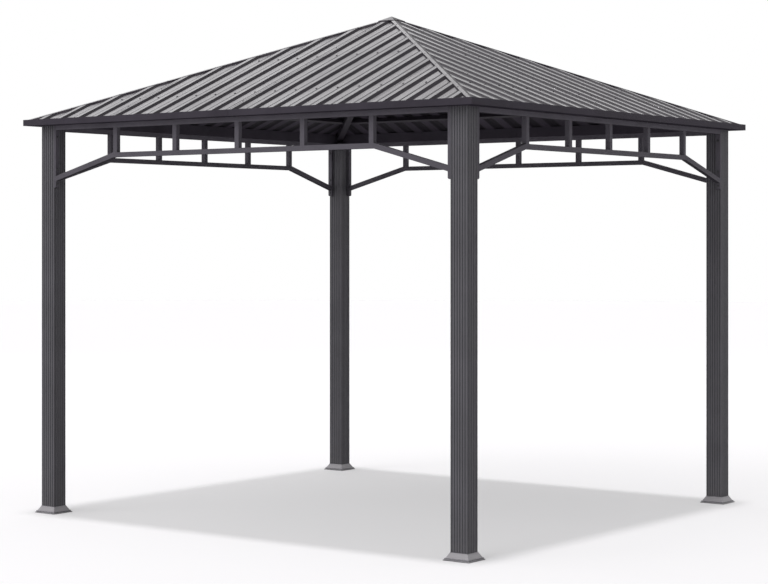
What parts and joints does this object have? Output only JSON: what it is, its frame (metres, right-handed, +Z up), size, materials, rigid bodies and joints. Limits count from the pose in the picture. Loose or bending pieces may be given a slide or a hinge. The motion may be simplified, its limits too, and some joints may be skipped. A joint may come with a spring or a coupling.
{
  "type": "metal gazebo",
  "caption": "Free-standing square hard-top garden gazebo with fluted posts, trussed sides and a low pyramid roof of ribbed metal sheet, open on every side.",
  "frame": {"origin": "on the ground under the middle of the roof", "axes": "+Z up; -Y out of the front side, +X out of the right side"},
  "size_m": [3, 3, 2.8418],
  "materials": {
    "post_paint": "anthracite powder coat, satin, fine grain",
    "frame_paint": "anthracite powder coat, satin, fine grain",
    "fascia_paint": "anthracite powder coat, satin, fine grain",
    "cover_paint": "anthracite powder coat, semi-gloss",
    "plate_paint": "anthracite powder coat, satin",
    "roof_sheet": "dark grey coil-coated sheet, semi-gloss",
    "cap_paint": "dark grey coil-coated sheet, semi-gloss"
  },
  "bodies": {
    "root": {"post_front_right": "post_paint", "post_back_right": "post_paint", "post_back_left": "post_paint", "post_front_left": "post_paint", "base_plates": "plate_paint", "foot_cover_front_right": "cover_paint", "foot_cover_back_right": "cover_paint", "foot_cover_back_left": "cover_paint", "foot_cover_front_left": "cover_paint", "front_top_rail": "frame_paint", "front_bottom_chord": "frame_paint", "front_knee_braces": "frame_paint", "front_struts": "frame_paint", "front_fascia": "fascia_paint", "right_top_rail": "frame_paint", "right_bottom_chord": "frame_paint", "right_knee_braces": "frame_paint", "right_struts": "frame_paint", "right_fascia": "fascia_paint", "back_top_rail": "frame_paint", "back_bottom_chord": "frame_paint", "back_knee_braces": "frame_paint", "back_struts": "frame_paint", "back_fascia": "fascia_paint", "left_top_rail": "frame_paint", "left_bottom_chord": "frame_paint", "left_knee_braces": "frame_paint", "left_struts": "frame_paint", "left_fascia": "fascia_paint", "hip_rafter_front_right": "frame_paint", "hip_rafter_back_right": "frame_paint", "hip_rafter_back_left": "frame_paint", "hip_rafter_front_left": "frame_paint", "rafter_hub": "frame_paint", "lower_purlins": "frame_paint", "upper_purlins": "frame_paint", "front_roof_panel": "roof_sheet", "right_roof_panel": "roof_sheet", "back_roof_panel": "roof_sheet", "left_roof_panel": "roof_sheet", "hip_cap_front_right": "cap_paint", "hip_cap_back_right": "cap_paint", "hip_cap_back_left": "cap_paint", "hip_cap_front_left": "cap_paint", "apex_cap": "cap_paint"}
  },
  "joints": []
}
